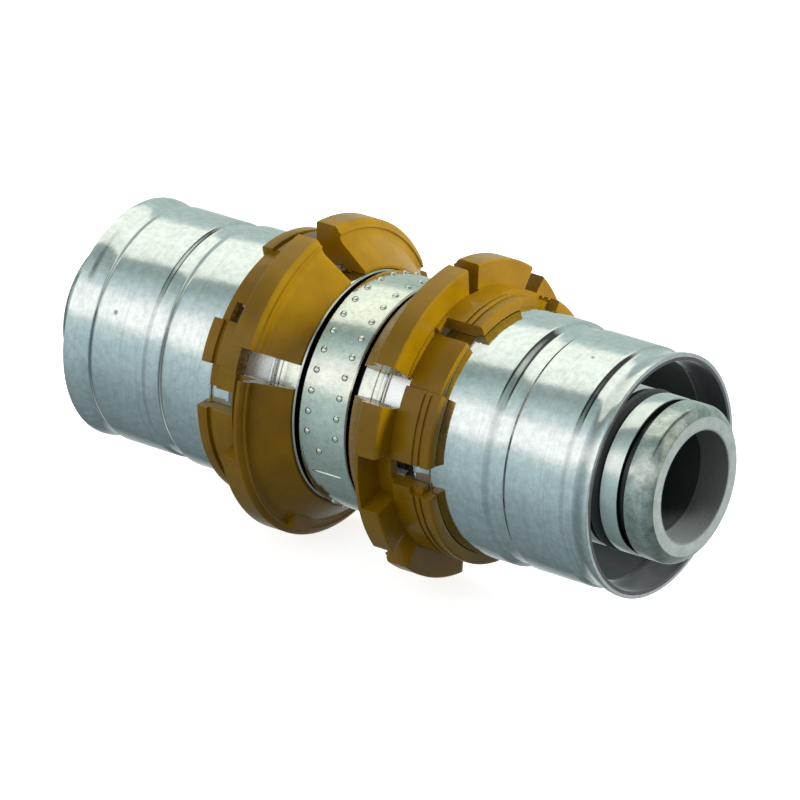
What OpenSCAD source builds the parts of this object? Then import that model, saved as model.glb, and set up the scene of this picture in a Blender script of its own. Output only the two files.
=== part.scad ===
// Straight press coupling for 20 mm multilayer pipe, lying along X with its centre at the origin.
// Stations are distances from the middle plane, and each half is built outwards from it. Angles about
// the axis are counted from the top (+Z) towards the front (-Y).

/* [Bore] */
// Through bore
bore_d = 10.1; // [8:0.1:11]
// Radial widening of the turned mouth of the bore
bore_mouth_step = 0.2; // [0.05:0.05:0.4]
// Depth of the wider mouth
bore_mouth_depth = 3; // [1:0.5:6]

/* [Middle band] */
// Width of the band
band_w = 5.1; // [3:0.1:12]
// Outside of the band
band_d = 22.4; // [20:0.1:26]
// Width of the open gap beside the band
gap_w = 0.7; // [0.3:0.05:1.5]
// Diameter at the bottom of the gap
gap_d = 19.4; // [17:0.1:21]

/* [Land] */
// Outside of the land that carries a stop ring
land_d = 22.2; // [21.4:0.1:22.6]
// Length of the land
land_length = 2.65; // [2:0.05:4]
// Width of the snap groove round the land
snap_w = 0.6; // [0.3:0.05:0.9]
// Depth of the snap groove
snap_depth = 0.2; // [0.1:0.05:0.4]
// Distance from the snap groove to the outer end of the land
snap_setback = 0.45; // [0.2:0.05:0.7]

/* [Neck] */
// Outside of the ribbed neck
neck_d = 17.9; // [16.4:0.1:19]
// Length of the neck, from the land to the shoulder where the pipe stops
neck_length = 2.6; // [2.5:0.1:6]
// Number of grooves that rib the neck behind the land
rib_count = 3; // [1:1:3]
// Pitch of the neck's grooves
rib_pitch = 0.8; // [0.5:0.05:0.85]
// Depth of the neck's grooves
rib_depth = 0.35; // [0.1:0.05:0.7]

/* [Insert] */
// Outside of the insert, which goes into the pipe
insert_d = 14.9; // [14:0.1:16]
// Length of the insert, from the shoulder to the tip
insert_length = 25.25; // [22:0.05:40]
// Length of the chamfer behind the tip face
tip_chamfer = 0.85; // [0.3:0.05:1.5]
// Radial drop of the chamfer
tip_drop = 0.75; // [0.3:0.05:1.2]
// Length of the land between the chamfer and the plain groove
tip_land = 1.8; // [1:0.05:3]
// Width of the plain groove
plain_groove_w = 0.75; // [0.3:0.05:1.2]
// Depth of the plain groove
plain_groove_depth = 0.5; // [0.2:0.05:1]
// Length of the land between the plain groove and the outer O-ring
second_land = 1.85; // [1:0.05:3]
// Distance between the two O-rings
oring_spacing = 6.25; // [3:0.05:7]
// Number of retaining grooves
grip_count = 3; // [1:1:3]
// Distance from the shoulder to the first retaining groove
grip_setback = 2.5; // [1:0.05:3]
// Pitch of the retaining grooves
grip_pitch = 2.1; // [1:0.05:2.2]
// Width of a retaining groove
grip_w = 0.45; // [0.2:0.05:0.8]
// Depth of a retaining groove
grip_depth = 0.3; // [0.1:0.05:0.8]

/* [O-rings] */
// Thickness of an O-ring's cord
oring_cord = 1.3; // [1:0.05:1.6]
// Space on each side of an O-ring in its groove
oring_side_clear = 0.175; // [0.05:0.005:0.3]
// Space under an O-ring in its groove
oring_under_clear = 0.02; // [0.01:0.01:0.1]
// Height of an O-ring over the insert
oring_proud = 0.12; // [0.05:0.01:0.3]

/* [Press sleeve] */
// Space between the land and the sleeve's inner end
sleeve_gap = 0.15; // [0.1:0.05:0.5]
// Length of the sleeve outside the stop ring, from its step to its mouth
sleeve_reach = 17.15; // [13:0.05:28]
// Wall of the sleeve
sleeve_wall = 0.7; // [0.5:0.05:1]
// Outside of the flared mouth
mouth_d = 22.95; // [22.3:0.05:24]
// Length of the straight rim at the mouth
mouth_rim = 0.6; // [0.3:0.05:1]
// Length of the flare behind the rim
mouth_flare = 1.3; // [0.8:0.05:2]
// Diameter at the bottom of the groove near the mouth
mouth_valley_d = 22.1; // [21.6:0.05:22.6]
// Width of the bottom of the groove near the mouth
mouth_valley_w = 0.5; // [0.2:0.05:1]
// Length of the rise from the mouth groove to the long flat
mouth_shoulder = 1.1; // [0.8:0.05:2]
// Outside of the long flat between the two grooves
outer_zone_d = 22.7; // [22.3:0.05:24]
// Length of the long flat
outer_zone_w = 5.55; // [4:0.05:7]
// Length of the sharp step from the long flat to the middle groove
mid_step = 0.5; // [0.4:0.05:1]
// Diameter at the bottom of the middle groove
mid_valley_d = 22.15; // [21.6:0.05:22.6]
// Width of the bottom of the middle groove
mid_valley_w = 1.25; // [0.5:0.05:2]
// Length of the rise from the middle groove to the flat beside the stop ring
mid_shoulder = 1.15; // [0.8:0.05:2]
// Outside of the flat beside the stop ring
inner_zone_d = 23.15; // [22.6:0.05:23.6]
// Outside of the reduced end under the stop ring
end_zone_d = 22.4; // [22:0.05:22.6]
// Length of the step that ends the reduced end
end_step = 0.5; // [0.3:0.05:0.6]
// Outside of the lip on the reduced end
end_lip_d = 22.8; // [22.6:0.05:23.2]
// Width of the lip on the reduced end
end_lip_w = 0.45; // [0.3:0.05:0.7]
// Distance from the sleeve's inner end to its inspection windows
sleeve_window_setback = 0.8; // [0.75:0.05:1]
// Length of an inspection window
sleeve_window_length = 3.85; // [1:0.05:4]
// Angle by which an inspection window is narrower on each side than the one over it
sleeve_window_margin = 1; // [0:0.5:3]
// The windows of the stop ring that have an inspection window under them, counted from 0
inspected_windows = [1, 3]; // [0:1:3]

/* [Stop ring] */
// Distance from the gap to the foot of the ring's cone
ring_setback = 0.1; // [0:0.05:0.5]
// Thickness of the ring at the foot of its cone
foot_wall = 0.3; // [0.2:0.05:0.6]
// Length of the cone beside the band
cone_length = 2.75; // [1.5:0.05:4]
// Diameter at the top of the cone
cone_top_d = 27.4; // [25.6:0.1:29]
// Length of the steep rise from the cone to the rim
rim_rise = 0.35; // [0.2:0.05:1]
// Outside of the segmented rim
rim_d = 30.2; // [29:0.1:34]
// Width of the rim
rim_w = 2.5; // [2:0.05:4]
// Width of the rim's thin stretch
thin_rim_w = 0.65; // [0.4:0.05:1.2]
// Bevel on the front edge of the rim
rim_bevel = 0.3; // [0.1:0.05:0.5]
// Size of the hollow between the cone and the steep rise
cone_hollow = 0.55; // [0.1:0.05:0.9]
// Thickness of the collar over the sleeve's lip
collar_wall = 1.25; // [0.9:0.05:2]
// Reach of the slots into the collar
slot_over = 0.2; // [0.1:0.05:0.4]
// Distance from the rim to the collar's recesses
thin_over = 0.1; // [0.05:0.05:0.3]
// Thickness of the floor of the recess behind a thin stretch
thin_floor = 0.65; // [0.4:0.05:0.8]
// Depth of the collar's recessed stretches
recess_drop = 0.5; // [0.2:0.05:0.6]
// Distance from the rim to the sleeve's step, inside the collar
zone_offset = 3.8; // [3.7:0.05:4.2]
// Reach of the long tabs beyond the rim
long_tab = 4.3; // [3.8:0.05:7]
// Reach of the recessed stretches beyond the rim
recess_tab = 3.65; // [2.9:0.05:3.75]
// Reach of the short tabs beyond the rim
short_tab = 3.2; // [2.9:0.05:3.75]
// Length of the raised block on a short tab
short_block = 2.1; // [1:0.05:2.8]
// Reach of the index block in front of the top of the cone
index_reach = 0.5; // [0.2:0.05:0.8]
// Height of the index block over the top of the cone
index_height = 0.9; // [0.3:0.05:1]
// Space between the ring and the metal that it grips
ring_clear = 0.05; // [0.02:0.01:0.1]

/* [Stop ring cuts] */
// Lines round the right collar: distance from the rim, width and depth
right_lines = [[2.35, 0.25, 0.18], [3.05, 0.25, 0.18]]; // [0.1:0.01:4]
// Line round the left collar: distance from the rim, width and depth
left_lines = [[2.55, 0.55, 0.4]]; // [0.1:0.01:4]
// Start and end angles of the slots through the right rim
right_slots = [[-47, -38], [-3, 3], [52, 66], [126, 138], [174, 186], [240, 250]]; // [-180:1:360]
// Start and end angles of the slots through the left rim
left_slots = [[-68, -62], [0, 11], [60.5, 72], [196, 206], [244, 254]]; // [-180:1:360]
// Start and end angles of the right rim's thin stretch
right_thin = [85, 106]; // [-180:1:360]
// Start and end angles of the left rim's thin stretch
left_thin = [71, 102]; // [-180:1:360]
// Start and end angles of the right collar's windows, and where each begins and ends beyond the rim
right_windows = [[21, 29, 0.45, 5], [87, 98, -0.35, 5], [205, 215, 0.45, 5], [268, 278, 0.45, 5]]; // [-180:0.05:360]
// Start and end angles of the left collar's windows, and where each begins and ends beyond the rim
left_windows = [[42, 51, 0.45, 2.55], [80, 90, 0.25, 5], [200, 210, 0.45, 5], [268, 278, 0.45, 5]]; // [-180:0.05:360]
// Start and end angles of the right collar's recessed stretches
right_recesses = [[28, 55.5], [214, 242]]; // [-180:1:360]
// Start and end angles of the left collar's recessed stretches
left_recesses = [[12, 51.5], [209, 237]]; // [-180:1:360]
// Start and end angles of the right collar's short tabs
right_shorts = [[-36, -7], [96, 101], [276, 288]]; // [-180:1:360]
// Start and end angles of the left collar's short tabs
left_shorts = [[70.5, 81], [276, 288]]; // [-180:1:360]
// Start and end angles of the index block on the left rim
left_index = [145, 157]; // [-180:1:360]

/* [Finish] */
// Width of the small breaks on sharp edges
edge_break = 0.15; // [0.05:0.05:0.2]
// Tinned brass of the body
tin_colour = "#b9bcb4"; // ["#b9bcb4", "#c8b98a"]
// Aluminium of the sleeves
alu_colour = "#aeb8bd"; // ["#aeb8bd", "#c4c8ca"]
// Ochre plastic of the stop rings
ring_colour = "#9c741c"; // ["#9c741c", "#7b4a97"]
// Rubber of the O-rings
rubber_colour = "#17181a"; // ["#17181a", "#303030"]

/* [Hidden] */
$fn = 96;
cord_fn = 32;
blend_steps = 5;
hollow_steps = 3;
cut_over = 1;
bore_r = bore_d / 2;
band_r = band_d / 2;
gap_r = gap_d / 2;
land_r = land_d / 2;
neck_r = neck_d / 2;
insert_r = insert_d / 2;
rim_r = rim_d / 2;
band_edge = band_w / 2;
land_start = band_edge + gap_w;
land_end = land_start + land_length;
snap_end = land_end - snap_setback;
snap_start = snap_end - snap_w;
rib_w = rib_pitch / 2;
pipe_stop = land_end + neck_length;
tip = pipe_stop + insert_length;
chamfer_start = tip - tip_chamfer;
groove_w = oring_cord + 2 * oring_side_clear;
groove_depth = oring_cord + oring_under_clear - oring_proud;
plain_groove = chamfer_start - tip_land - plain_groove_w;
outer_groove = plain_groove - second_land - groove_w;
inner_groove = outer_groove - oring_spacing;
oring_r = insert_r + oring_proud - oring_cord / 2;
ring_start = land_start + ring_setback;
cone_end = ring_start + cone_length;
rim_start = cone_end + rim_rise;
rim_end = rim_start + rim_w;
thin_end = rim_start + thin_rim_w;
cone_top_r = cone_top_d / 2;
sleeve_start = land_end + sleeve_gap;
lip_end = sleeve_start + end_lip_w;
sleeve_window = sleeve_start + sleeve_window_setback;
zone_start = rim_end + zone_offset;
mouth = zone_start + sleeve_reach;
mouth_valley = mouth - mouth_rim - mouth_flare - mouth_valley_w;
outer_zone = mouth_valley - mouth_shoulder - outer_zone_w;
mid_valley = outer_zone - mid_step - mid_valley_w;
end_r = end_zone_d / 2;
end_lip_r = end_lip_d / 2;
inner_zone_r = inner_zone_d / 2;
mid_valley_r = mid_valley_d / 2;
outer_zone_r = outer_zone_d / 2;
mouth_valley_r = mouth_valley_d / 2;
mouth_r = mouth_d / 2;
land_fit_r = land_r + ring_clear;
lip_fit_r = end_lip_r + ring_clear;
collar_r = lip_fit_r + collar_wall;
recess_r = collar_r - recess_drop;
long_end = rim_end + long_tab;
cut_r = rim_r + cut_over;
cut_end = long_end + cut_over;

// Turns a profile of [station, radius] points round the X axis.
module turned(points) {
  rotate([0, 90, 0])
    rotate_extrude()
      polygon([for (p = points) [p[1], p[0]]]);
}

// A block between two stations, two radii and two angles.
module sector(stations, radii, angles) {
  rotate([angles[0], 0, 0])
    rotate([0, 90, 0])
      rotate([0, 0, 180])
        rotate_extrude(angle = angles[1] - angles[0])
          translate([radii[0], stations[0]])
            square([radii[1] - radii[0], stations[1] - stations[0]]);
}

// The left half of the coupling is the mirror image of the right one.
module at_left() {
  mirror([1, 0, 0])
    children();
}

// The same points on the left half, in the order that closes the profile.
function mirrored(points) = [for (i = [len(points) - 1:-1:0]) [-points[i][0], points[i][1]]];

// The point at a given distance from one point towards another.
function toward(from, to, distance) = from + (to - from) * distance / norm(to - from);

// A rounded hollow in place of the corner between two lines.
function hollow(from, corner, to, size) =
  [for (t = [0:1 / hollow_steps:1])
    toward(corner, from, size) * pow(1 - t, 2) + corner * 2 * t * (1 - t) + toward(corner, to, size) * pow(t, 2)];

// A square groove cut into a cylinder of radius r.
function notch(start, width, r, depth) =
  [[start, r], [start, r - depth], [start + width, r - depth], [start + width, r]];

// A smooth change of radius between two points.
function blend(from, to) =
  [for (t = [0:1 / blend_steps:1])
    [from[0] + (to[0] - from[0]) * t, from[1] + (to[1] - from[1]) * (1 - cos(180 * t)) / 2]];

// The outside of the body's right half.
function body_outside() = concat(
  [[band_edge - edge_break, band_r], [band_edge, band_r - edge_break], [band_edge, gap_r]],
  [[land_start, gap_r], [land_start, land_r - edge_break], [land_start + edge_break, land_r]],
  notch(snap_start, snap_w, land_r, snap_depth),
  [[land_end - edge_break, land_r], [land_end, land_r - edge_break], [land_end, neck_r]],
  [for (i = [0:rib_count - 1]) each notch(land_end + rib_w / 2 + i * rib_pitch, rib_w, neck_r, rib_depth)],
  [[pipe_stop - edge_break, neck_r], [pipe_stop, neck_r - edge_break], [pipe_stop, insert_r]],
  [for (i = [0:grip_count - 1])
    each notch(pipe_stop + grip_setback + i * grip_pitch, grip_w, insert_r, grip_depth)],
  notch(inner_groove, groove_w, insert_r, groove_depth),
  notch(outer_groove, groove_w, insert_r, groove_depth),
  notch(plain_groove, plain_groove_w, insert_r, plain_groove_depth),
  [[chamfer_start, insert_r], [tip, insert_r - tip_drop]]);

// The bore of the body's right half, from the tip inwards.
function body_bore() = [
  [tip, bore_r + bore_mouth_step],
  [tip - bore_mouth_depth, bore_r + bore_mouth_step],
  [tip - bore_mouth_depth, bore_r]];

// One turned piece: band, lands, ribbed necks and the two grooved inserts.
module body() {
  turned(concat(mirrored(body_outside()), body_outside(), body_bore(), mirrored(body_bore())));
}

// The outside of a sleeve from its lipped inner end to its mouth.
function sleeve_outside() = concat(
  [[sleeve_start, end_lip_r]],
  blend([lip_end - end_lip_w / 2, end_lip_r], [lip_end, end_r]),
  blend([zone_start - end_step, end_r], [zone_start, inner_zone_r]),
  blend([mid_valley - mid_shoulder, inner_zone_r], [mid_valley, mid_valley_r]),
  blend([outer_zone - mid_step, mid_valley_r], [outer_zone, outer_zone_r]),
  blend([outer_zone + outer_zone_w, outer_zone_r], [mouth_valley, mouth_valley_r]),
  blend([mouth_valley + mouth_valley_w, mouth_valley_r], [mouth - mouth_rim, mouth_r]),
  [[mouth, mouth_r]]);

// A thin rolled tube of even wall, with inspection windows under those of the stop ring.
module press_sleeve(windows) {
  outside = sleeve_outside();
  inside = [for (i = [len(outside) - 1:-1:0]) [outside[i][0], outside[i][1] - sleeve_wall]];
  difference() {
    turned(concat(outside, inside));
    for (i = inspected_windows)
      sector([sleeve_window, sleeve_window + sleeve_window_length], [neck_r, cut_r],
             [windows[i][0] + sleeve_window_margin, windows[i][1] - sleeve_window_margin]);
  }
}

// The outside of the ring from the foot of the cone to the end of the collar.
function ring_outside(lines) = concat(
  [[ring_start, land_fit_r + foot_wall]],
  hollow([ring_start, land_fit_r + foot_wall], [cone_end, cone_top_r], [rim_start, rim_r - rim_bevel], cone_hollow),
  [[rim_start, rim_r - rim_bevel], [rim_start + rim_bevel, rim_r]],
  [[rim_end - edge_break, rim_r], [rim_end, rim_r - edge_break], [rim_end, collar_r]],
  [for (line = lines) each notch(rim_end + line[0], line[1], collar_r, line[2])],
  [[long_end - edge_break, collar_r], [long_end, collar_r - edge_break]]);

// The inside of the ring, which follows the sleeve's end and the land.
function ring_inside() = [
  [long_end, inner_zone_r + ring_clear],
  [zone_start - ring_clear, inner_zone_r + ring_clear],
  [zone_start - end_step - ring_clear, end_r + ring_clear],
  [lip_end + ring_clear, end_r + ring_clear],
  [lip_end + ring_clear, lip_fit_r],
  [land_end + ring_clear, lip_fit_r],
  [land_end + ring_clear, land_fit_r],
  [snap_end - ring_clear, land_fit_r],
  [snap_end - ring_clear, land_fit_r - snap_depth],
  [snap_start + ring_clear, land_fit_r - snap_depth],
  [snap_start + ring_clear, land_fit_r],
  [ring_start, land_fit_r]];

// Takes a sector out of the ring at each pair of angles in a list.
module ring_cuts(list, stations, floor_r) {
  for (a = list)
    sector(stations, [floor_r, cut_r], a);
}

// A stop ring: segmented rim, and a collar with windows and tabs of three lengths.
module stop_ring(lines, slots, thin, windows, recesses, shorts) {
  difference() {
    turned(concat(ring_outside(lines), ring_inside()));
    ring_cuts(slots, [ring_start - cut_over, rim_end + slot_over], neck_r);
    ring_cuts([thin], [thin_end, rim_end + thin_over], lip_fit_r + thin_floor);
    for (w = windows)
      sector([rim_end + w[2], rim_end + w[3]], [neck_r, cut_r], [w[0], w[1]]);
    ring_cuts(recesses, [rim_end + recess_tab, cut_end], neck_r);
    ring_cuts(recesses, [rim_end + thin_over, cut_end], recess_r);
    ring_cuts(shorts, [rim_end + short_tab, cut_end], neck_r);
    ring_cuts(shorts, [rim_end + short_block, cut_end], recess_r);
  }
}

// A small block in the hollow between the cone and the steep rise.
module index_block(angles) {
  sector([cone_end - index_reach, rim_start + edge_break], [cone_top_r - index_reach, cone_top_r + index_height], angles);
}

// A rubber ring in a square groove that begins at the given station.
module oring(groove) {
  translate([groove + groove_w / 2, 0, 0])
    rotate([0, 90, 0])
      rotate_extrude()
        translate([oring_r, 0])
          circle(d = oring_cord, $fn = cord_fn);
}

module fitting_body() {
  color(tin_colour)
    body();
}

module press_sleeve_right() {
  color(alu_colour)
    press_sleeve(right_windows);
}

module press_sleeve_left() {
  color(alu_colour)
    at_left()
      press_sleeve(left_windows);
}

module stop_ring_right() {
  color(ring_colour)
    stop_ring(right_lines, right_slots, right_thin, right_windows, right_recesses, right_shorts);
}

module stop_ring_left() {
  color(ring_colour)
    at_left() {
      stop_ring(left_lines, left_slots, left_thin, left_windows, left_recesses, left_shorts);
      index_block(left_index);
    }
}

module oring_right_outer() {
  color(rubber_colour)
    oring(outer_groove);
}

module oring_right_inner() {
  color(rubber_colour)
    oring(inner_groove);
}

module oring_left_outer() {
  color(rubber_colour)
    at_left()
      oring(outer_groove);
}

module oring_left_inner() {
  color(rubber_colour)
    at_left()
      oring(inner_groove);
}

fitting_body();
press_sleeve_right();
press_sleeve_left();
stop_ring_right();
stop_ring_left();
oring_right_outer();
oring_right_inner();
oring_left_outer();
oring_left_inner();
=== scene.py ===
import math

import bmesh
import bpy
from mathutils import Matrix, Vector


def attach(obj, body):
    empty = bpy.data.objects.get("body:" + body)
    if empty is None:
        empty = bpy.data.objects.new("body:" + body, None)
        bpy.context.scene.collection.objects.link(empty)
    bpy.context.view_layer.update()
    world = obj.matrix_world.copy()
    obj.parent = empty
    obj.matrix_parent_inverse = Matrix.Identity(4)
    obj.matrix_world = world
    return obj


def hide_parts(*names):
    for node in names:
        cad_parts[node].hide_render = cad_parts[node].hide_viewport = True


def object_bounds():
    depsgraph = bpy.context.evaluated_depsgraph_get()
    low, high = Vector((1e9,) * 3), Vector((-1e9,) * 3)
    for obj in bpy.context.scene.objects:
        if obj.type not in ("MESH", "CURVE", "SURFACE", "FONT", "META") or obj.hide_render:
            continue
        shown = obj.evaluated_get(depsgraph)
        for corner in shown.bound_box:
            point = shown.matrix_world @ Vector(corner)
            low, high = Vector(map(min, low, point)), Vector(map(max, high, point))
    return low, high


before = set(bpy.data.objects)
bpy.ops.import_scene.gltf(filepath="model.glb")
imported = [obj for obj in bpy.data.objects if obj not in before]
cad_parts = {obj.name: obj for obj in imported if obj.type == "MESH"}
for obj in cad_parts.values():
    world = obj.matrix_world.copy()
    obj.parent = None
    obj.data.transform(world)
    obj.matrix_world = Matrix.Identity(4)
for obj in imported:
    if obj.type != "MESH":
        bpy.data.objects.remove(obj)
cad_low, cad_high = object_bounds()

# Driving sizes in millimetres, as in the CAD model: the coupling lies along X, and _r marks a radius
MM = 0.001
band_w, band_r, gap_w, gap_r, edge_break = 5.1, 11.2, 0.7, 9.7, 0.15
land_w, land_r, snap_w, snap_depth, snap_setback = 2.65, 11.1, 0.6, 0.2, 0.45
neck_w, neck_r, insert_w, insert_r = 2.6, 8.95, 25.25, 7.45
bore_r, bore_mouth_r, bore_mouth_depth = 5.05, 5.25, 3.0
tip_chamfer, tip_land, second_land, plain_groove_w, plain_groove_depth = 0.85, 1.8, 1.85, 0.75, 0.5
oring_cord, oring_r, oring_spacing, groove_w, groove_depth = 1.3, 6.92, 6.25, 1.65, 1.2
barb_first, barb_pitch, barb_w, barb_depth, barbs = 2.5, 2.1, 0.45, 0.3, 3
sleeve_gap, zone_offset, sleeve_reach, wall = 0.15, 3.8, 17.15, 0.7
sleeve_window_setback, sleeve_window_w = 0.8, 3.85
ring_setback, ring_foot_r, cone_w, cone_top_r = 0.1, 11.45, 2.75, 13.7
rim_rise, rim_bevel, rim_w, rim_r = 0.35, 0.3, 2.5, 15.1
collar_r, recess_drop, thin_rim_w, thin_r = 12.7, 0.5, 0.65, 12.1
long_tab, recess_tab, short_tab, short_block = 4.3, 3.65, 3.2, 2.1
index_reach, index_height, index_sunk = 0.5, 0.9, 0.5

# Stations of the right half that follow from them
band_edge = band_w / 2
land_start = band_edge + gap_w
land_end = land_start + land_w
snap_end = land_end - snap_setback
snap_start = snap_end - snap_w
pipe_stop = land_end + neck_w
tip = pipe_stop + insert_w
plain_groove = tip - tip_chamfer - tip_land - plain_groove_w
outer_groove = plain_groove - second_land - groove_w
inner_groove = outer_groove - oring_spacing
ring_start = land_start + ring_setback
cone_end = ring_start + cone_w
rim_start = cone_end + rim_rise
rim_end = rim_start + rim_w
ring_end = rim_end + long_tab
sleeve_start = land_end + sleeve_gap
sleeve_window = sleeve_start + sleeve_window_setback
zone_start = rim_end + zone_offset
mouth = zone_start + sleeve_reach

# Sizes in millimetres that only the visible model has: its band is wider at each side by the spread
band_spread = 0.12
rib_lead, rib_step, rib_steps, rib_turn, rib_wave = 0.1, 0.08, 30, 10, 0.16
bead_length, bead_drop, bead_arc, bead_steps = 1.05, 0.92, math.radians(30), 10
bore_ease, body_rounding, sleeve_rounding, ring_bevel = 0.3, 0.09, 0.16, 0.13
pip_row, pip_r, pip_rise, pip_sink = 1.6, 0.36, 0.17, 0.05
lone_pip, lone_pip_angle = -0.35, 99
dash, dash_angle, dash_half, dash_half_w, dash_rise = 0.1, 112, 1.85, 0.18, 0.15

# Steps round each lathed piece, and pips in a row, of which some give way to the stamped marks
BODY_STEPS, SLEEVE_STEPS, RING_STEPS, ORING_STEPS, CORD_STEPS = 228, 288, 240, 128, 20
PIPS, BARE_PIPS = 36, (10, 11, 12, 13)
DOME_STEPS, DOME_ROWS = 12, 3

# Angles in degrees: the turn of a first step, so that no step meets the edge of a cut, and how much an edge
# of the sleeves and rings, of the body, and of an O-ring may turn and still be shaded smooth
FIRST_STEP, SMOOTH, BODY_SMOOTH, CORD_SMOOTH = 0.4, 36, 40, 80

# Limits of the blocks that are cut out of the rings, clear of the ring on each side
CUT_START, CUT_END, CUT_FOOT_R, CUT_TOP_R = 2.3, 14.3, 9.0, 16.2

# What is cut out of each ring, by its angles in degrees from the top towards the front. A window also has
# its start and end after the rim's end. A line round the collar has its start there, width and depth.
RINGS = {
    "right": dict(
        lines=[(2.35, 0.25, 0.18), (3.05, 0.25, 0.18)],
        slots=[(-47, -38), (-3, 3), (52, 66), (126, 138), (174, 186), (240, 250)],
        thin=(85, 106),
        windows=[(21, 29, 0.45, 5), (87, 98, -0.35, 5), (205, 215, 0.45, 5), (268, 278, 0.45, 5)],
        recesses=[(28, 55.5), (214, 242)],
        shorts=[(-36, -7), (96, 101), (276, 288)],
    ),
    "left": dict(
        lines=[(2.55, 0.55, 0.4)],
        slots=[(-68, -62), (0, 11), (60.5, 72), (196, 206), (244, 254)],
        thin=(71, 102),
        windows=[(42, 51, 0.35, 2.9), (80, 90, 0.25, 5), (200, 210, 0.45, 5), (268, 278, 0.45, 5)],
        recesses=[(12, 51.5), (209, 237)],
        shorts=[(70.5, 81), (276, 288)],
        index=(145, 157),
    ),
}


# Outlines, as lists of a station and a radius
def bend(start, corner, end, steps):
    """The points of a small curve from start to end that leans towards the corner."""
    points = []
    for k in range(steps + 1):
        t = k / steps
        points.append(tuple(start * (1 - t) ** 2 + corner * 2 * t * (1 - t) + end * t ** 2))
    return points


def rounded(points, radius, steps):
    """The closed outline with its sharp corners turned into small curves."""
    straight, share = math.radians(22), 0.45
    out = []
    for i, point in enumerate(points):
        corner, before, after = Vector(point), Vector(points[i - 1]), Vector(points[(i + 1) % len(points)])
        back, on = before - corner, after - corner
        if min(back.length, on.length) < 1e-6:
            continue
        turn = math.acos(max(-1.0, min(1.0, -back.normalized().dot(on.normalized()))))
        if turn < straight:
            out.append(tuple(corner))
            continue
        cut = min(radius * math.tan(turn / 2), back.length * share, on.length * share)
        out += bend(corner + back.normalized() * cut, corner, corner + on.normalized() * cut, steps)
    return out


def hollow(before, corner, after, size):
    """A rounded hollow in place of the corner between two lines."""
    before, corner, after = Vector(before), Vector(corner), Vector(after)
    start, end = corner + (before - corner).normalized() * size, corner + (after - corner).normalized() * size
    return bend(start, corner, end, 6)


def blend(a, b, steps):
    """A soft passage from one radius to the next, as half a cosine wave."""
    points = []
    for k in range(steps + 1):
        t = k / steps
        points.append((a[0] + (b[0] - a[0]) * t, a[1] + (b[1] - a[1]) * (1 - math.cos(math.pi * t)) / 2))
    return points


def notch(start, width, r, depth):
    """A square groove in a surface of radius r."""
    return [(start, r), (start, r - depth), (start + width, r - depth), (start + width, r)]


def mirrored(points):
    """The same outline on the other side, in reverse order."""
    return [(-x, r) for x, r in reversed(points)]


# Meshes
def placed(x, r, angle):
    """The point in metres at a station and radius in millimetres, and an angle from the top in radians."""
    return x * MM, -r * math.sin(angle) * MM, r * math.cos(angle) * MM


def smooth_by_angle(mesh, degrees):
    """Shades the mesh smooth, but for its edges that turn more than the angle."""
    bm = bmesh.new()
    bm.from_mesh(mesh)
    for face in bm.faces:
        face.smooth = True
    for edge in bm.edges:
        edge.smooth = len(edge.link_faces) == 2 and edge.calc_face_angle(0.0) < math.radians(degrees)
    bm.to_mesh(mesh)
    bm.free()


def new_object(name, data):
    """A new object in the scene, with its mesh, lamp or camera."""
    obj = bpy.data.objects.new(name, data)
    bpy.context.scene.collection.objects.link(obj)
    return obj


def finished(bm, mesh):
    """Turns the faces outwards and writes them to the mesh."""
    bmesh.ops.recalc_face_normals(bm, faces=bm.faces)
    bm.to_mesh(mesh)
    bm.free()


def lathe(name, points, steps, smooth_limit, first=0.0):
    """Turns a closed outline round the X axis, from a first angle in degrees."""
    verts, faces = [], []
    for k in range(steps):
        angle = 2 * math.pi * k / steps + math.radians(first)
        verts += [placed(x, r, angle) for x, r in points]
    n = len(points)
    for k in range(steps):
        m = (k + 1) % steps
        for i in range(n):
            j = (i + 1) % n
            faces.append((k * n + i, k * n + j, m * n + j, m * n + i))
    mesh = bpy.data.meshes.new(name)
    mesh.from_pydata(verts, [], faces)
    bm = bmesh.new()
    bm.from_mesh(mesh)
    finished(bm, mesh)
    smooth_by_angle(mesh, smooth_limit)
    return new_object(name, mesh)


def flipped(obj):
    """Mirrors an object's mesh to the left half."""
    obj.data.transform(Matrix.Scale(-1, 4, (1, 0, 0)))
    obj.data.flip_normals()


def sector_block(bm, x0, x1, r0, r1, first, last):
    """Adds a closed block between two stations, two radii and two angles in degrees."""
    step = 2.5
    steps = max(2, int((last - first) / step))
    rows = []
    for k in range(steps + 1):
        angle = math.radians(first + (last - first) * k / steps)
        corners = ((x0, r0), (x1, r0), (x1, r1), (x0, r1))
        rows.append([bm.verts.new(placed(x, r, angle)) for x, r in corners])
    for k in range(steps):
        for i in range(4):
            j = (i + 1) % 4
            bm.faces.new((rows[k][i], rows[k][j], rows[k + 1][j], rows[k + 1][i]))
    bm.faces.new(rows[0][::-1])
    bm.faces.new(rows[-1])


def add_cutter(base, number, block):
    """Takes one sector block out of the object by a modifier, and gives back the block."""
    bm = bmesh.new()
    sector_block(bm, *block)
    mesh = bpy.data.meshes.new("cut")
    finished(bm, mesh)
    cutter = new_object("cut", mesh)
    modifier = base.modifiers.new("cut%d" % number, "BOOLEAN")
    modifier.operation = "DIFFERENCE"
    modifier.solver = "EXACT"
    modifier.object = cutter
    return cutter


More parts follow.
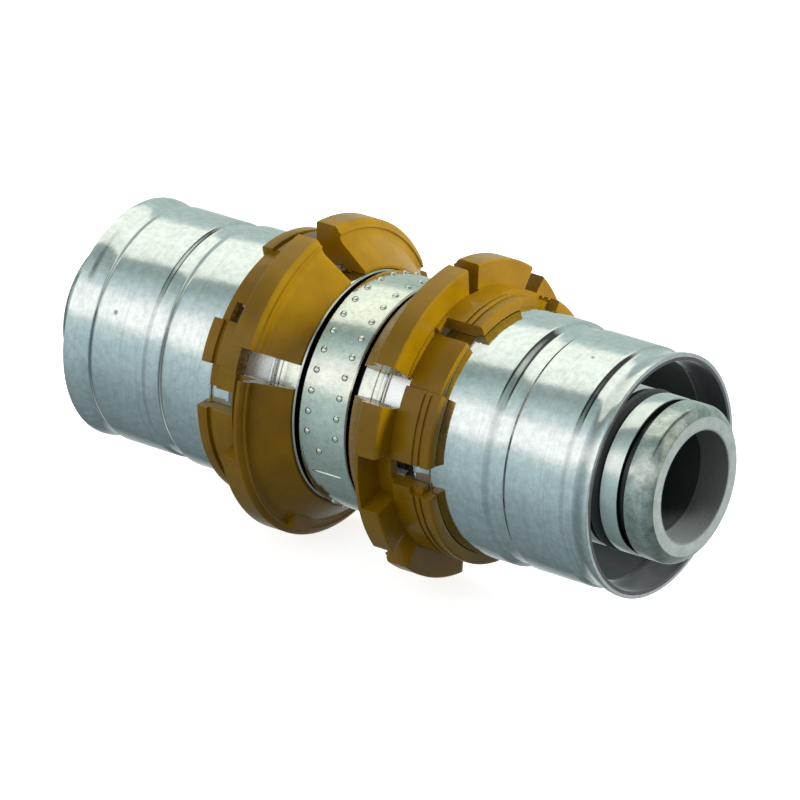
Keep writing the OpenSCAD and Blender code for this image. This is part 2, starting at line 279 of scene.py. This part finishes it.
def cut_out(base, blocks, bevel_width=0.0):
    """Takes sector blocks out of an object, and breaks the edges that they leave."""
    cutters = [add_cutter(base, number, block) for number, block in enumerate(blocks)]
    if bevel_width:
        bevel = base.modifiers.new("bevel", "BEVEL")
        bevel.width = bevel_width * MM
        bevel.segments = 2
        bevel.limit_method = "ANGLE"
        bevel.angle_limit = math.radians(38)
        bevel.harden_normals = False
    bpy.context.view_layer.update()
    depsgraph = bpy.context.evaluated_depsgraph_get()
    mesh = bpy.data.meshes.new_from_object(base.evaluated_get(depsgraph))
    uncut = base.data
    base.modifiers.clear()
    base.data = mesh
    bpy.data.meshes.remove(uncut)
    for cutter in cutters:
        bpy.data.objects.remove(cutter)


# Body
def neck_ribs():
    """Round ribs on the neck, as a cosine wave below its radius."""
    points = []
    for k in range(1, rib_steps + 1):
        wave = rib_wave * math.cos(2 * math.pi * k / rib_turn)
        points.append((land_end + rib_lead + k * rib_step, neck_r - rib_wave - wave))
    return points


def tip_bead():
    """The bead at the tip, rounded over the chamfer down to a narrow face."""
    points = []
    for k in range(bead_steps + 1):
        t = bead_arc * k / bead_steps
        back = bead_length * (1 - math.sin(t) / math.sin(bead_arc))
        drop = bead_drop * (1 - math.cos(t)) / (1 - math.cos(bead_arc))
        points.append((tip - back, insert_r - drop))
    return points


def body_outside():
    """The outline of the body's right half, from the band's edge to the tip."""
    e = edge_break
    edge = band_edge + band_spread
    out = [(edge - e, band_r), (edge, band_r - e), (edge, gap_r)]
    out += [(land_start, gap_r), (land_start, land_r - e), (land_start + e, land_r)]
    out += notch(snap_start, snap_end - snap_start, land_r, snap_depth)
    out += [(land_end - e, land_r), (land_end, land_r - e), (land_end, neck_r)]
    out += neck_ribs()
    out += [(pipe_stop, neck_r - e), (pipe_stop, insert_r)]
    for i in range(barbs):
        out += notch(pipe_stop + barb_first + i * barb_pitch, barb_w, insert_r, barb_depth)
    out += notch(inner_groove, groove_w, insert_r, groove_depth)
    out += notch(outer_groove, groove_w, insert_r, groove_depth)
    out += notch(plain_groove, plain_groove_w, insert_r, plain_groove_depth)
    return out + tip_bead()


def dome(bm, station, degrees, half_length, half_width, height):
    """Adds a low dome whose foot sinks into the band, round or drawn out along X."""
    middle = math.radians(degrees)
    rows = []
    for j in range(DOME_ROWS):
        climb = math.radians(90) * j / DOME_ROWS
        r = band_r + height * math.sin(climb) if j else band_r - pip_sink
        row = []
        for k in range(DOME_STEPS):
            around = 2 * math.pi * k / DOME_STEPS
            x = station + half_length * math.cos(climb) * math.cos(around)
            angle = middle + half_width * math.cos(climb) * math.sin(around) / band_r
            row.append(bm.verts.new(placed(x, r, angle)))
        rows.append(row)
    top = bm.verts.new(placed(station, band_r + height, middle))
    for k in range(DOME_STEPS):
        m = (k + 1) % DOME_STEPS
        made = [bm.faces.new((low[k], low[m], high[m], high[k])) for low, high in zip(rows, rows[1:])]
        made.append(bm.faces.new((rows[-1][k], rows[-1][m], top)))
        for face in made:
            face.smooth = True


def make_body():
    """The turned body, with two rows of pips, a lone pip and a raised dash on its band."""
    outside = body_outside()
    step = tip - bore_mouth_depth
    bore = [(tip, bore_mouth_r), (step + bore_ease, bore_mouth_r), (step - bore_ease, bore_r)]
    profile = mirrored(outside) + outside + bore + mirrored(bore)
    obj = lathe("coupling_body", rounded(profile, body_rounding, 2), BODY_STEPS, BODY_SMOOTH)
    bm = bmesh.new()
    bm.from_mesh(obj.data)
    for station in (-pip_row, pip_row):
        for k in range(PIPS):
            if k not in BARE_PIPS:
                dome(bm, station, k * 360 / PIPS, pip_r, pip_r, pip_rise)
    dome(bm, lone_pip, lone_pip_angle, pip_r, pip_r, pip_rise)
    dome(bm, dash, dash_angle, dash_half, dash_half_w, dash_rise)
    finished(bm, obj.data)
    return obj


# Sleeves
def sleeve_outside():
    """The right sleeve's outside: lip, first zone, rolled groove, second zone, valley and flare."""
    lip_end, groove, second, valley = sleeve_start + 0.45, 19.1, 20.85, 27.5
    lip_r, lead_r, zone_r, groove_r = 11.4, 11.2, 11.575, 11.075
    second_r, valley_r, mouth_r = 11.35, 11.05, 11.475
    lip = [(0.0, 0.45), (0.04, 0.22), (0.13, 0.07)]
    out = [(sleeve_start + along, lip_r - below) for along, below in lip]
    out += blend((lip_end - 0.2, lip_r), (lip_end, lead_r), 6)
    out += blend((zone_start - 0.5, lead_r), (zone_start, zone_r), 8)
    out += blend((groove - 1.05, zone_r), (groove, groove_r), 14)
    out += blend((second - 0.5, groove_r), (second, second_r), 10)
    out += blend((second + 5.65, second_r), (valley - 0.2, valley_r), 14)
    out += blend((valley + 0.3, valley_r), (mouth - 0.15, mouth_r), 14)
    out += [(mouth, mouth_r)]
    return out


def make_sleeve(name, side):
    """A drawn sleeve with two inspection windows under its ring's second and last windows."""
    outside = sleeve_outside()
    inside = [(x, r - wall) for x, r in reversed(outside)]
    obj = lathe(name, rounded(outside + inside, sleeve_rounding, 4), SLEEVE_STEPS, SMOOTH, FIRST_STEP)
    windows, window_margin = RINGS[side]["windows"], 1
    blocks = []
    for first, last, _, _ in (windows[1], windows[3]):
        stations = (sleeve_window, sleeve_window + sleeve_window_w)
        blocks.append(stations + (neck_r, CUT_TOP_R, first + window_margin, last - window_margin))
    cut_out(obj, blocks)
    smooth_by_angle(obj.data, SMOOTH)
    if side == "left":
        flipped(obj)
    return obj


# Stop rings
def ring_profile(lines):
    """The closed section of the right ring: hollowed cone, bevelled rim, collar with lines, inner snap."""
    foot, edge = (ring_start, ring_foot_r), (6.28, rim_r - 0.9)
    outside = [foot] + hollow(foot, (cone_end, cone_top_r), edge, 0.4)
    lip = [(6.26, 0.86), (6.13, 0.72), (6.2, 0.58), (6.4, 0.52), (rim_start, rim_bevel),
           (rim_start + rim_bevel, 0.0)]
    outside += [(x, rim_r - below) for x, below in lip]
    outside += [(rim_end - edge_break, rim_r), (rim_end, rim_r - edge_break), (rim_end, collar_r)]
    for start, width, depth in lines:
        outside += notch(rim_end + start, width, collar_r, depth)
    outside += [(ring_end - edge_break, collar_r), (ring_end, collar_r - edge_break)]
    seat_r, waist_r, hole_r, snap_r = 11.625, 11.25, 11.15, 10.95
    inside = [(ring_end, seat_r), (12.7, seat_r), (12.2, waist_r), (6.55, waist_r), (6.55, ring_foot_r),
              (5.95, ring_foot_r), (5.95, hole_r), (5.4, hole_r), (5.4, snap_r), (4.9, snap_r),
              (4.9, hole_r), (ring_start, hole_r)]
    return outside + inside


def ring_cuts(spec):
    """The blocks that are cut out of a ring for its slots, thin stretch, windows, recesses and short tabs."""
    slot_past, thin_past, recess_past = 0.2, 0.12, 0.1
    recess_r = collar_r - recess_drop

    def blocks(start, end, foot_r, angles):
        return [(start, end, foot_r, CUT_TOP_R) + pair for pair in angles]

    cuts = blocks(CUT_START, rim_end + slot_past, CUT_FOOT_R, spec["slots"])
    cuts += blocks(rim_start + thin_rim_w, rim_end + thin_past, thin_r, [spec["thin"]])
    for first, last, start, end in spec["windows"]:
        cuts += blocks(rim_end + start, rim_end + end, CUT_FOOT_R, [(first, last)])
    cuts += blocks(rim_end + recess_tab, CUT_END, CUT_FOOT_R, spec["recesses"])
    cuts += blocks(rim_end + recess_past, CUT_END, recess_r, spec["recesses"])
    cuts += blocks(rim_end + short_tab, CUT_END, CUT_FOOT_R, spec["shorts"])
    cuts += blocks(rim_end + short_block, CUT_END, recess_r, spec["shorts"])
    return cuts


def make_ring(name, side):
    """A moulded stop ring, and its index block where it has one."""
    spec = RINGS[side]
    obj = lathe(name, ring_profile(spec["lines"]), RING_STEPS, SMOOTH, FIRST_STEP)
    cut_out(obj, ring_cuts(spec), ring_bevel)
    if "index" in spec:
        bm = bmesh.new()
        bm.from_mesh(obj.data)
        stations = (cone_end - index_reach, rim_start + 0.1)
        radii = (cone_top_r - index_sunk, cone_top_r + index_height)
        sector_block(bm, *stations, *radii, *spec["index"])
        finished(bm, obj.data)
    smooth_by_angle(obj.data, SMOOTH)
    if side == "left":
        flipped(obj)
    weighted = obj.modifiers.new("weighted", "WEIGHTED_NORMAL")
    weighted.keep_sharp = True
    return obj


# O-rings
def make_oring(name, groove, left=False):
    """A round cord in the middle of its groove."""
    points = []
    for k in range(CORD_STEPS):
        angle = 2 * math.pi * k / CORD_STEPS
        x = groove + groove_w / 2 + oring_cord / 2 * math.cos(angle)
        points.append((x, oring_r + oring_cord / 2 * math.sin(angle)))
    obj = lathe(name, points, ORING_STEPS, CORD_SMOOTH)
    if left:
        flipped(obj)
    return obj


pieces = {
    "fitting_body": make_body(),
    "press_sleeve_right": make_sleeve("sleeve_right", "right"),
    "press_sleeve_left": make_sleeve("sleeve_left", "left"),
    "stop_ring_right": make_ring("ring_right", "right"),
    "stop_ring_left": make_ring("ring_left", "left"),
    "oring_right_outer": make_oring("seal_right_outer", outer_groove),
    "oring_right_inner": make_oring("seal_right_inner", inner_groove),
    "oring_left_outer": make_oring("seal_left_outer", outer_groove, left=True),
    "oring_left_inner": make_oring("seal_left_inner", inner_groove, left=True),
}
for node, piece in pieces.items():
    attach(piece, "root")
    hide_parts(node)


# Materials
class Tree:
    """Adds and links the nodes of a material or of the world."""

    def __init__(self, tree):
        self.tree = tree

    def put(self, value, socket):
        """Links an output to the socket, or sets the socket to a number, vector or colour."""
        if isinstance(value, bpy.types.NodeSocket):
            self.tree.links.new(value, socket)
        elif isinstance(value, (int, float)) or len(value) == len(socket.default_value):
            socket.default_value = value
        else:
            socket.default_value = tuple(value) + (1,)

    def add(self, kind, values=None, **settings):
        node = self.tree.nodes.new(kind)
        for name, setting in settings.items():
            setattr(node, name, setting)
        for name, value in (values or {}).items():
            self.put(value, node.inputs[name])
        return node

    def math(self, operation, a, b=0.0, c=0.0, clamp=False):
        return self.add("ShaderNodeMath", {0: a, 1: b, 2: c}, operation=operation, use_clamp=clamp).outputs[0]

    def times(self, a, b):
        return self.math("MULTIPLY", a, b)

    def above(self, value, limit):
        """One where the value is above the limit, and none elsewhere."""
        return self.math("GREATER_THAN", value, limit)

    def below(self, value, limit):
        """One where the value is below the limit, and none elsewhere."""
        return self.math("LESS_THAN", value, limit)

    def weighted(self, base, *terms):
        """The base plus each value times its factor."""
        for value, factor in terms:
            base = self.math("MULTIPLY_ADD", value, factor, base)
        return base

    def vectors(self, a, b):
        """Two colours or vectors, multiplied part by part."""
        return self.add("ShaderNodeVectorMath", {0: a, 1: b}, operation="MULTIPLY").outputs[0]

    def noise(self, vector, scale, detail, roughness=0.5):
        values = {"Vector": vector, "Scale": scale, "Detail": detail, "Roughness": roughness}
        return self.add("ShaderNodeTexNoise", values).outputs[0]

    def ramp(self, value, stops):
        """A colour or grey that follows the value between stops."""
        node = self.add("ShaderNodeValToRGB", {0: value})
        elements = node.color_ramp.elements
        while len(elements) < len(stops):
            elements.new(0.5)
        for element, (place, tone) in zip(elements, stops):
            element.position = place
            element.color = (tone, tone, tone, 1) if isinstance(tone, (int, float)) else tuple(tone) + (1,)
        return node.outputs[0]

    def mix(self, factor, a, b):
        """Colour a where the factor is none, and colour b where it is one."""
        return self.add("ShaderNodeMix", {0: factor, 6: a, 7: b}, data_type="RGBA").outputs[2]


def material(name):
    """A new material, its tree and its surface shader."""
    made = bpy.data.materials.new(name)
    made.use_nodes = True
    made.node_tree.nodes.clear()
    t = Tree(made.node_tree)
    surface = t.add("ShaderNodeBsdfPrincipled")
    t.add("ShaderNodeOutputMaterial", {0: surface.outputs[0]})
    return made, t, surface


def finish(t, surface, colour, rough, height, strength):
    """Gives the surface its colour, roughness and bump, whose height is in millimetres."""
    bump = t.add("ShaderNodeBump", {"Strength": strength, "Distance": MM, "Height": height})
    t.put(colour, surface.inputs["Base Color"])
    t.put(rough, surface.inputs["Roughness"])
    t.put(bump.outputs[0], surface.inputs["Normal"])


def coordinates(t, name):
    """Object coordinates in metres, the surface's direction there, or Generated, the world's direction."""
    return t.add("ShaderNodeTexCoord").outputs[name]


def parts_of(t, vector):
    """The three parts of a vector."""
    return t.add("ShaderNodeSeparateXYZ", {0: vector}).outputs


def streaks(t, parts, along, around):
    """A vector with one scale along the axis and one round it, so that noise on it draws turning marks."""
    values = {0: t.times(parts[0], along), 1: t.times(parts[1], around), 2: t.times(parts[2], around)}
    return t.add("ShaderNodeCombineXYZ", values).outputs[0]


def axis_distance(t, parts):
    """The distance from the axis, in metres."""
    return t.math("SQRT", t.math("ADD", t.times(parts[1], parts[1]), t.times(parts[2], parts[2])))


def inward(t, parts):
    """One where the surface faces the axis, and none elsewhere."""
    normal = parts_of(t, coordinates(t, "Normal"))
    return t.below(t.math("ADD", t.times(normal[1], parts[1]), t.times(normal[2], parts[2])), 0.0)


def pits(t, place):
    """One in a few small pits, and none elsewhere."""
    cells = t.add("ShaderNodeTexVoronoi", {"Vector": place, "Scale": 330.0, "Randomness": 1.0})
    pick = t.add("ShaderNodeSeparateColor", {0: cells.outputs["Color"]}).outputs[0]
    dot = t.ramp(cells.outputs["Distance"], [(0.0, 1.0), (0.05, 1.0), (0.10, 0.0), (1.0, 0.0)])
    return t.times(dot, t.above(pick, 0.86))


def aluminium():
    """Drawn aluminium with drawing lines, shallow dents and pits; pale under the ring, which is painted
    light, and dark inside, which is painted shade.
    """
    painted_light_end, flare_start = 9.4 * MM, 27.3 * MM
    made, t, surface = material("sleeve_aluminium")
    place = coordinates(t, "Object")
    parts = parts_of(t, place)
    lines = t.noise(streaks(t, parts, 8000, 50), 1.0, 3.0, 0.6)
    dents = t.noise(streaks(t, parts, 240, 380), 1.0, 1.5, 0.5)
    speckle = t.noise(place, 1500.0, 5.0, 0.7)
    pit = pits(t, place)
    off = t.math("ABSOLUTE", parts[0])
    pale = t.below(off, painted_light_end)
    inside = inward(t, parts)
    flare = t.times(inside, t.above(off, flare_start))
    colour = t.mix(t.ramp(speckle, [(0.34, 0.0), (0.62, 1.0)]), (0.58, 0.62, 0.625), (0.75, 0.785, 0.78))
    colour = t.mix(t.times(t.ramp(lines, [(0.3, 1.0), (0.45, 0.0)]), 0.5), colour, (0.46, 0.49, 0.50))
    colour = t.mix(t.times(pit, 0.8), colour, (0.12, 0.13, 0.14))
    # Painted light: where the sleeve shows in the ring's slots and windows it is near white and less
    # metallic, so that it looks brightly lit
    colour = t.mix(pale, colour, (0.95, 0.97, 0.99))
    # Painted shade: the inside of the sleeve is near black and not metallic, a little less dark towards the
    # mouth
    colour = t.mix(inside, colour, t.mix(flare, (0.05, 0.055, 0.06), (0.07, 0.076, 0.084)))
    t.put(t.math("SUBTRACT", t.weighted(1.0, (pale, -0.3)), inside, clamp=True), surface.inputs["Metallic"])
    t.put(t.weighted(0.5, (inside, -0.42)), surface.inputs["Specular IOR Level"])
    depth = t.math("SUBTRACT", inside, flare)
    rough = t.weighted(0.0, (speckle, 0.10), (dents, 0.05), (pale, 0.2), (flare, 0.08), (depth, 0.34))
    height = t.weighted(0.0, (lines, 0.0014), (pit, -0.035), (dents, 0.10), (speckle, 0.010))
    finish(t, surface, colour, rough, height, 0.5)
    return made


def tinned():
    """Tinned brass: pale and mottled outside, and dark in the gap, the plain groove and the bore as painted
    shade. The near white neck and the lighter faces across the axis at the tip are painted light, and the
    darker bead is painted shade.
    """
    made, t, surface = material("tinned_brass")
    place = coordinates(t, "Object")
    parts = parts_of(t, place)
    radius, off = axis_distance(t, parts), t.math("ABSOLUTE", parts[0])
    lines = t.noise(streaks(t, parts, 7000, 40), 1.0, 2.0)
    cloud = t.noise(place, 420.0, 5.0, 0.65)
    speckle = t.noise(place, 2200.0, 4.0, 0.7)
    mottle = t.ramp(t.noise(place, 800.0, 6.0, 0.75), [(0.36, 0.0), (0.64, 1.0)])

    def within(r):
        return t.below(radius, r * MM)

    def short_of(x):
        return t.below(off, x * MM)

    def past(x):
        return t.above(off, x * MM)

    margin, neck_end, end_start, groove_end = 0.15, 12.0, 28.0, plain_groove + plain_groove_w
    gap = t.times(within(land_r - 0.2), short_of(ring_start))
    insert = within(neck_r + 0.35)
    neck = t.times(insert, short_of(neck_end))
    end = t.times(within(insert_r + margin), past(end_start))
    bead = t.times(end, past(groove_end))
    face = t.times(end, t.above(t.math("ABSOLUTE", parts_of(t, coordinates(t, "Normal"))[0]), 0.95))
    between = t.times(past(plain_groove - 0.01), short_of(groove_end + 0.02))
    groove = t.times(within(insert_r - margin), between)
    bore = within(bore_mouth_r + margin)
    bore_mouth = past(tip - bore_mouth_depth)

    colour = t.mix(t.ramp(cloud, [(0.3, 0.0), (0.7, 1.0)]), (0.60, 0.63, 0.57), (0.76, 0.78, 0.70))
    colour = t.mix(t.ramp(speckle, [(0.3, 0.45), (0.55, 0.0)]), colour, (0.36, 0.38, 0.35))
    zones = [
        # Painted shade: the gap between the band and the land is near black
        (gap, (0.15, 0.165, 0.20)),
        (end, t.mix(mottle, (0.56, 0.61, 0.60), (0.68, 0.72, 0.69))),
        # Painted shade: the bead's rounded outside is darker than the rest of the tip
        (bead, t.mix(mottle, (0.28, 0.33, 0.31), (0.60, 0.64, 0.59))),
        # Painted light: faces across the axis at the tip are lighter than the bead
        (face, t.mix(mottle, (0.56, 0.61, 0.59), (0.76, 0.80, 0.78))),
        # Painted shade: the plain groove near the tip is near black
        (groove, (0.03, 0.034, 0.035)),
        # Painted shade: the bore is dark and dull, darkest beyond its wider mouth
        (bore, t.mix(bore_mouth, (0.06, 0.07, 0.07), (0.20, 0.225, 0.22))),
        # Painted light: the neck, which shows through the windows, is near white so that it looks brightly
        # lit
        (neck, (0.95, 0.97, 0.98)),
    ]
    for zone, tone in zones:
        colour = t.mix(zone, colour, tone)

    dull = t.math("MAXIMUM", t.times(end, 0.10), t.times(bore, 0.85))
    t.put(t.math("SUBTRACT", 1.0, dull), surface.inputs["Metallic"])
    t.put(t.weighted(0.5, (bore, -0.3)), surface.inputs["Specular IOR Level"])
    rough = t.weighted(0.03, (insert, 0.07), (cloud, 0.14), (t.math("MAXIMUM", neck, end), -0.05))
    rough = t.weighted(rough, (bead, 0.07), (bore, 0.25))
    rings = t.times(lines, t.weighted(0.004, (bore, 0.06)))
    height = t.weighted(rings, (cloud, 0.05), (speckle, 0.012))
    finish(t, surface, colour, rough, height, 0.5)
    return made


def plastic():
    """Ochre plastic with a soft cloud in its colour and gloss, and a fine grain."""
    made, t, surface = material("ring_plastic")
    place = coordinates(t, "Object")
    cloud = t.noise(place, 240.0, 4.0, 0.55)
    grain = t.noise(place, 4200.0, 2.0)
    colour = t.mix(t.ramp(cloud, [(0.3, 0.0), (0.7, 1.0)]), (0.25, 0.130, 0.001), (0.35, 0.195, 0.003))
    t.put(0.26, surface.inputs["Specular IOR Level"])
    height = t.weighted(0.0, (cloud, 0.08), (grain, 0.006))
    finish(t, surface, colour, t.weighted(0.18, (cloud, 0.14)), height, 0.4)
    return made


def rubber():
    """Black rubber with a fine grain."""
    made, t, surface = material("seal_rubber")
    place = coordinates(t, "Object")
    grain = t.noise(place, 3000.0, 3.0)
    colour = t.mix(grain, (0.010, 0.010, 0.011), (0.022, 0.022, 0.024))
    finish(t, surface, colour, t.weighted(0.4, (grain, 0.2)), t.times(grain, 0.01), 0.3)
    return made


finishes = {
    "fitting": (tinned(), "tinned_brass"),
    "press": (aluminium(), "sleeve_aluminium"),
    "stop": (plastic(), "ring_plastic"),
    "oring": (rubber(), "seal_rubber"),
}
for node, piece in pieces.items():
    made, slot = finishes[node.split("_")[0]]
    piece.data.materials.clear()
    piece.data.materials.append(made)

# The sleeves don't keep the reflection of the soft boxes off the insert inside them
for node in ("press_sleeve_right", "press_sleeve_left"):
    pieces[node].visible_glossy = False


# Floor
def make_floor():
    """A plain pale floor just below the coupling, which neither shows in it nor lights it."""
    half, below = 4.0, 0.0001
    z = cad_low.z - below
    mesh = bpy.data.meshes.new("floor")
    corners = [(-half, -half, z), (half, -half, z), (half, half, z), (-half, half, z)]
    mesh.from_pydata(corners, [], [(0, 1, 2, 3)])
    obj = new_object("floor", mesh)
    made, t, surface = material("floor_white")
    look = {"Base Color": (0.93, 0.93, 0.93), "Roughness": 0.9, "Specular IOR Level": 0.1,
            "Emission Color": (1.0, 1.0, 1.0), "Emission Strength": 0.8}
    for name, value in look.items():
        t.put(value, surface.inputs[name])
    mesh.materials.append(made)
    obj.visible_glossy = False
    obj.visible_diffuse = False
    return obj


floor = make_floor()

# Tints of the surroundings, then their level and tint by angle round the coupling, in degrees from the top
# towards the front: bright soft boxes above and in front, dim below and behind
WARM, WHITE, REAR, GREEN = (0.955, 1.0, 0.895), (0.985, 1.0, 0.975), (0.91, 1.0, 0.975), (0.82, 1.0, 0.94)
GREY, PALE, BLUE = (0.785, 1.0, 0.98), (0.86, 1.0, 0.995), (0.78, 1.0, 1.045)
surroundings = [
    (-180, 0.26, BLUE), (-160, 0.20, BLUE), (-138, 0.50, REAR), (-126, 0.70, REAR), (-112, 0.73, REAR),
    (-100, 0.62, GREEN), (-64, 0.69, GREEN), (-54, 0.80, GREEN), (-46, 1.30, WARM), (-20, 1.38, WARM),
    (-6, 1.29, WARM), (4, 1.18, WARM), (10, 0.50, GREEN), (19, 0.47, GREY), (30, 0.68, GREY),
    (41, 0.91, PALE), (50, 1.28, WHITE), (62, 1.38, WHITE), (72, 1.30, WHITE), (80, 0.88, PALE),
    (92, 0.69, BLUE), (110, 0.58, BLUE), (130, 0.41, BLUE), (150, 0.335, BLUE), (180, 0.26, BLUE),
]


def at(degrees):
    """The place of an angle on a ramp that runs once round the coupling."""
    return degrees / 360 + 0.5


def shine(w, parts, along):
    """What the gloss reflects: long soft boxes parallel to the coupling."""
    around = w.math("ARCTAN2", w.times(parts[1], -1.0), parts[2])
    turn = w.weighted(0.5, (around, 1 / (2 * math.pi)))
    stops = [(at(angle), tuple(level * part for part in tint)) for angle, level, tint in surroundings]
    boxes = w.ramp(turn, stops)
    ends = w.ramp(along, [(0.0, 0.6), (0.12, 0.8), (0.2, 1.0), (0.5, 0.95), (0.72, 0.78), (1.0, 0.72)])
    # the box above ends over the left half, so what faces right up there is dark
    card = w.ramp(along, [(0.0, 1.0), (0.47, 1.0), (0.53, 0.05), (0.66, 0.08), (0.76, 0.8), (1.0, 0.8)])
    over = w.ramp(turn, [(at(-56), 0.0), (at(-44), 1.0), (at(30), 1.0), (at(46), 0.0)])
    return w.vectors(boxes, w.mix(over, ends, w.vectors(ends, card)))


def soft(w, parts, along):
    """The plain soft light on what isn't glossy: more from above and from the left."""
    height = w.weighted(0.5, (parts[2], 0.5))
    sky = w.ramp(height, [(0.0, 0.20), (0.3, 0.27), (0.5, 0.45), (0.75, 0.54), (1.0, 0.62)])
    side = w.ramp(along, [(0.0, 1.15), (0.5, 0.95), (0.75, 0.6), (1.0, 0.45)])
    return w.vectors(sky, side)


def make_world():
    """The surroundings: soft boxes for what is glossy, and a plain sky for the rest."""
    world = bpy.data.worlds.new("studio")
    bpy.context.scene.world = world
    world.use_nodes = True
    world.node_tree.nodes.clear()
    w = Tree(world.node_tree)
    parts = parts_of(w, coordinates(w, "Generated"))
    along = w.weighted(0.5, (parts[0], 0.5))
    glossy = w.add("ShaderNodeLightPath").outputs["Is Glossy Ray"]
    light = w.mix(glossy, soft(w, parts, along), shine(w, parts, along))
    background = w.add("ShaderNodeBackground", {0: light, 1: 1.0})
    w.add("ShaderNodeOutputWorld", {0: background.outputs[0]})


def area(name, place, size, power, colour):
    """A lamp that faces the coupling and doesn't show in its gloss."""
    lamp = bpy.data.lights.new(name, "AREA")
    lamp.shape = "RECTANGLE"
    lamp.size, lamp.size_y = size
    lamp.energy = power
    lamp.color = colour
    obj = new_object(name, lamp)
    obj.location = place
    obj.rotation_mode = "QUATERNION"
    obj.rotation_quaternion = (-Vector(place)).to_track_quat("-Z", "Y")
    obj.visible_glossy = False


make_world()

# Lamps, with their place and size in metres, power in watts and colour
area("key", (0.75, 0.5, 0.42), (0.22, 0.22), 13.5, (1.0, 0.99, 0.96))
area("front", (-0.1, -0.8, 0.2), (0.6, 0.4), 0.8, (1.0, 1.0, 1.0))

# Camera, by the direction in which it stands from the coupling, its distance, and how far its aim is
# moved to the right and up
azimuth, elevation = math.radians(36.731), math.radians(24.362)
distance, aim_right, aim_up = 0.8505, 0.000495, -0.0005


def make_camera():
    """The camera at the photograph's viewing angle."""
    data = bpy.data.cameras.new("camera")
    data.lens = 416.07
    data.sensor_width = 36.0
    data.sensor_fit = "HORIZONTAL"
    data.clip_start, data.clip_end = 0.01, 20.0
    obj = new_object("camera", data)
    right = Vector((math.cos(azimuth), math.sin(azimuth), 0.0))
    level = Vector((math.sin(azimuth), -math.cos(azimuth), 0.0))
    back = level * math.cos(elevation) + Vector((0.0, 0.0, math.sin(elevation)))
    up = back.cross(right)
    obj.location = back * distance + right * aim_right + up * aim_up
    obj.rotation_mode = "QUATERNION"
    obj.rotation_quaternion = Matrix((right, up, back)).transposed().to_quaternion()
    return obj


bpy.context.scene.camera = make_camera()
bpy.context.scene.view_settings.view_transform = "Standard"
